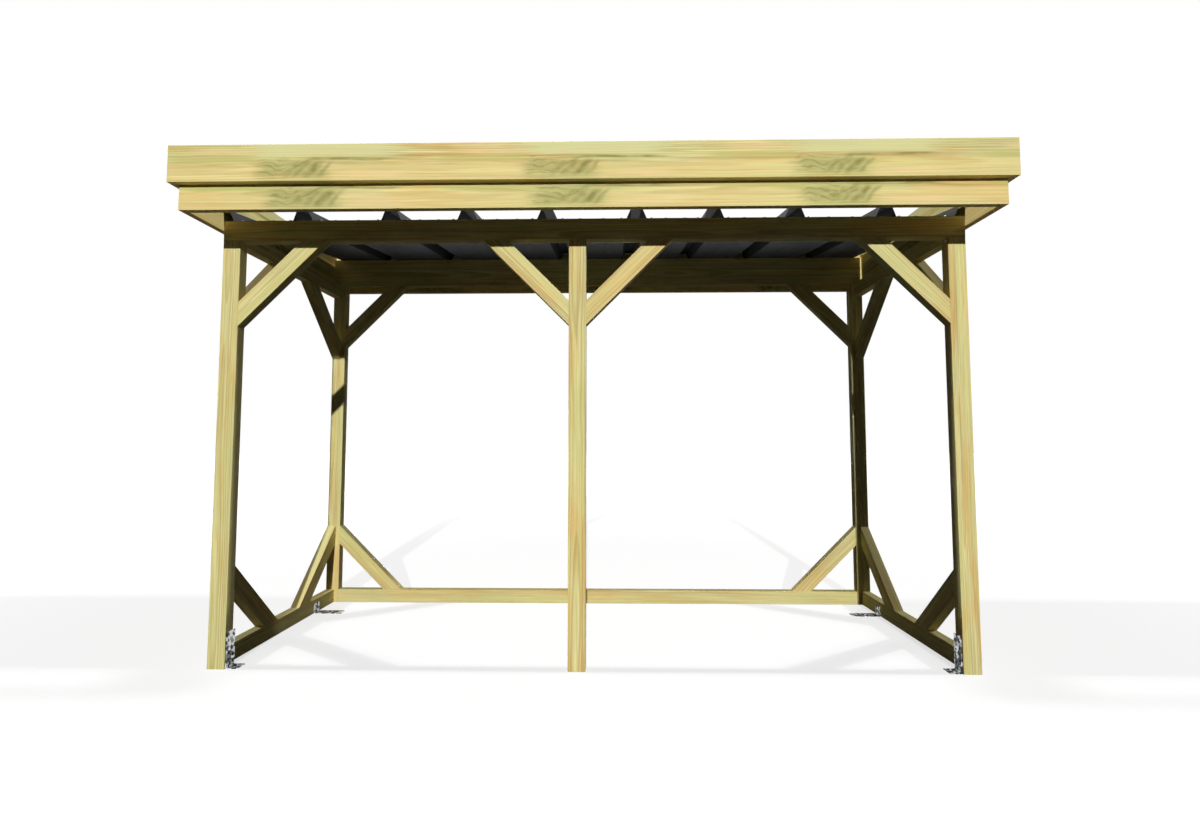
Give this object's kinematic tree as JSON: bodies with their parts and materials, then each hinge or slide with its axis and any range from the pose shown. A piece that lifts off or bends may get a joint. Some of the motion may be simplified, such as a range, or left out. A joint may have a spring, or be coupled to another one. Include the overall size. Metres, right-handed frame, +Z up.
{
  "type": "log store",
  "caption": "Open timber-framed shelter for stacked firewood: posts, ground rails and knee braces under a single-slope ribbed steel roof hidden by a stepped board fascia.",
  "frame": {"origin": "on the ground, under the middle of the roof outline's bounding box", "axes": "+Z up, +X to the right seen from the open front, +Y from the open front to the back"},
  "size_m": [3.108, 1.263, 1.984],
  "materials": {
    "post_timber": "planed pressure-treated softwood, pale yellow-green, matt",
    "frame_timber": "planed pressure-treated softwood, pale yellow-green, matt",
    "fascia_timber": "planed pressure-treated softwood boards, cream with green and peach streaks",
    "roof_sheet": "dark grey coated profiled steel, satin",
    "bracket_zinc": "hot-dip galvanised, dull spangle"
  },
  "bodies": {
    "root": {"post_front_left": "post_timber", "post_front_centre": "post_timber", "post_front_right": "post_timber", "post_rear_left": "post_timber", "post_rear_right": "post_timber", "rail_ground_rear": "frame_timber", "rail_ground_left": "frame_timber", "rail_ground_right": "frame_timber", "beam_front": "frame_timber", "beam_rear": "frame_timber", "rail_top_left": "frame_timber", "rail_top_right": "frame_timber", "brace_front_left": "frame_timber", "brace_front_centre_left": "frame_timber", "brace_front_centre_right": "frame_timber", "brace_front_right": "frame_timber", "brace_rear_top_left": "frame_timber", "brace_rear_top_right": "frame_timber", "brace_rear_foot_left": "frame_timber", "brace_rear_foot_right": "frame_timber", "brace_left_top_front": "frame_timber", "brace_left_top_rear": "frame_timber", "brace_right_top_front": "frame_timber", "brace_right_top_rear": "frame_timber", "brace_left_foot_front": "frame_timber", "brace_left_foot_rear": "frame_timber", "brace_right_foot_front": "frame_timber", "brace_right_foot_rear": "frame_timber", "fascia_lower_front": "fascia_timber", "fascia_lower_rear": "fascia_timber", "fascia_lower_left": "fascia_timber", "fascia_lower_right": "fascia_timber", "fascia_upper_front": "fascia_timber", "fascia_upper_rear": "fascia_timber", "fascia_upper_left": "fascia_timber", "fascia_upper_right": "fascia_timber", "roof_sheet_left": "roof_sheet", "roof_sheet_middle": "roof_sheet", "roof_sheet_right": "roof_sheet", "bracket_front_left": "bracket_zinc", "bracket_front_right": "bracket_zinc", "bracket_rear_left": "bracket_zinc", "bracket_rear_right": "bracket_zinc"}
  },
  "joints": []
}
